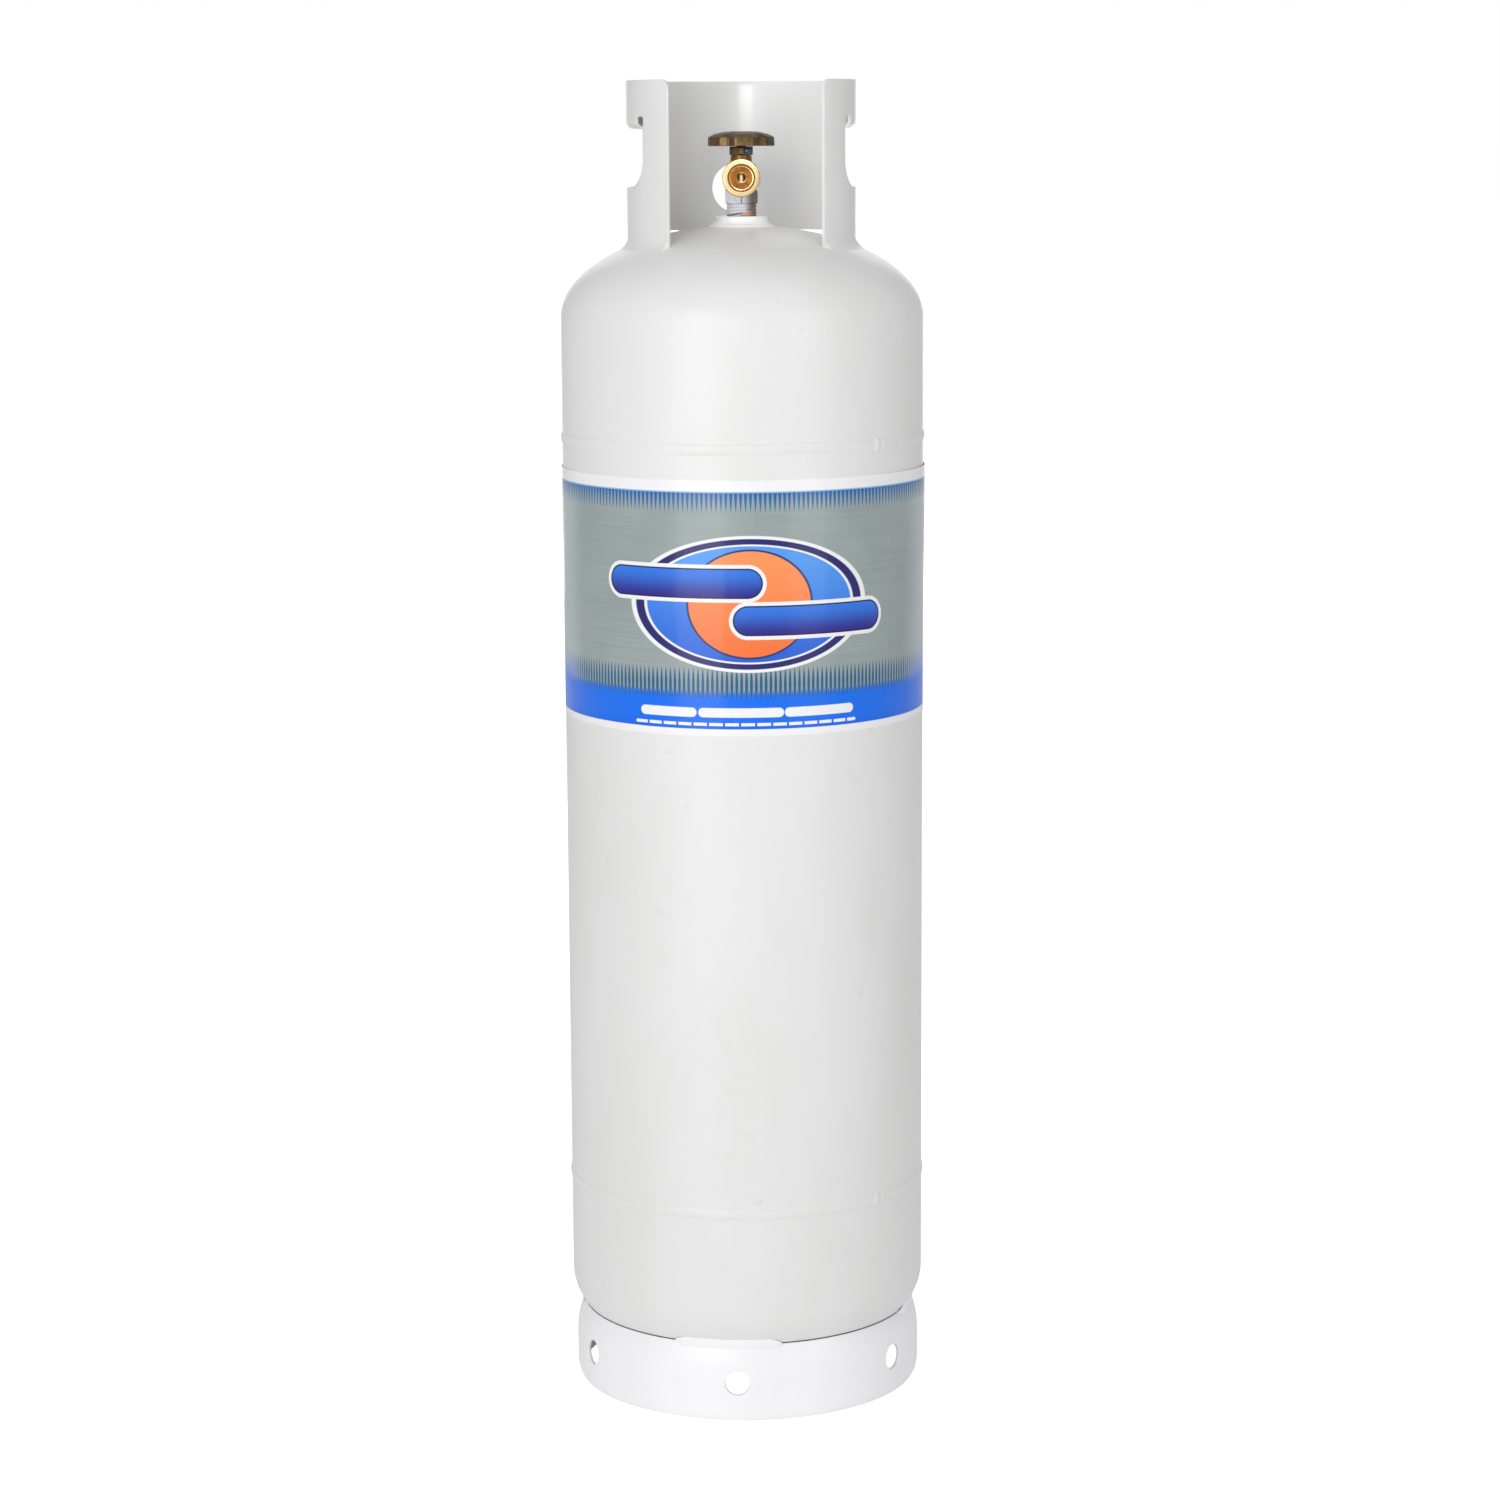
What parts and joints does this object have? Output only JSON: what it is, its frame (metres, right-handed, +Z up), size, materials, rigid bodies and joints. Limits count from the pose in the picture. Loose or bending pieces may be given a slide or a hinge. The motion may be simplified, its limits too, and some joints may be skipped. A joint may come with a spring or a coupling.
{
  "type": "propane tank",
  "caption": "Tall upright steel gas cylinder with domed welded ends, foot ring, open-fronted guard collar, printed sleeve and a brass outlet valve with a handwheel.",
  "frame": {"origin": "centre of the foot ring's lower edge, on the floor", "axes": "+Z up along the cylinder, -Y to the valve outlet and the collar's open front, +X to the right seen from the front"},
  "size_m": [0.3626, 0.3626, 1.316],
  "materials": {
    "enamel": "gloss white-grey enamel",
    "ring_paint": "semi-gloss white paint",
    "printed_film": "glossy printed film",
    "valve_brass": "machined and forged brass",
    "bronzed_brass": "dull bronze-brown casting",
    "plated_steel": "zinc plated",
    "sealing_tape": "soft grey wound tape",
    "seal_rubber": "matte black rubber",
    "blue_coating": "glossy blue locking lacquer",
    "blue_plastic": "soft blue plastic cap"
  },
  "bodies": {
    "cylinder": {"lower_head": "enamel", "shell_course": "enamel", "upper_head": "enamel", "lower_girth_weld": "enamel", "upper_girth_weld": "enamel", "seam_weld": "enamel", "collar": "enamel", "collar_weld_left": "enamel", "collar_weld_right": "enamel", "collar_weld_back": "enamel", "foot_ring": "ring_paint", "foot_ring_weld_1": "ring_paint", "foot_ring_weld_2": "ring_paint", "foot_ring_weld_3": "ring_paint", "foot_ring_weld_4": "ring_paint", "valve_boss": "ring_paint", "boss_weld": "ring_paint", "printed_sleeve": "printed_film", "valve_body": "valve_brass", "relief_retainer": "valve_brass", "dip_tube": "valve_brass", "bonnet": "bronzed_brass", "relief_spring": "plated_steel", "thread_seal_tape": "sealing_tape", "thrust_washer": "sealing_tape", "bonnet_lock_screw": "blue_coating", "relief_cap": "blue_plastic"},
    "handwheel": {"handwheel": "bronzed_brass", "handwheel_screw": "plated_steel", "upper_stem": "valve_brass", "stem_o_ring": "seal_rubber"},
    "spindle": {"lower_spindle": "valve_brass", "seat_disc": "seal_rubber"},
    "relief_poppet": {"relief_poppet": "valve_brass", "relief_seal": "seal_rubber"},
    "bleed_screw": {"bleed_screw": "valve_brass"}
  },
  "joints": [
    {"name": "handwheel_turn", "type": "hinge", "parent": "cylinder", "child": "handwheel", "pos_m": [0, 0, 1.2522], "axis": [0, 0, 1], "range_deg": [0, 720]},
    {"name": "spindle_lift", "type": "slide", "parent": "handwheel", "child": "spindle", "axis": [0, 0, 1], "range_m": [0, 0.0031]},
    {"name": "relief_lift", "type": "slide", "parent": "cylinder", "child": "relief_poppet", "axis": [0, 1, 0], "range_m": [0, 0.0025], "stiffness_N_per_m": 20000, "springref_m": -0.01, "deforming": ["relief_spring"]},
    {"name": "bleed_screw_turn", "type": "hinge", "parent": "cylinder", "child": "bleed_screw", "pos_m": [0.01336, 0.01336, 1.2215], "axis": [0.7071, 0.7071, 0], "range_deg": [0, 540]}
  ],
  "couplings": [
    {"joint": "spindle_lift", "follows": "handwheel_turn", "m_per_rad": 0.00023873}
  ]
}
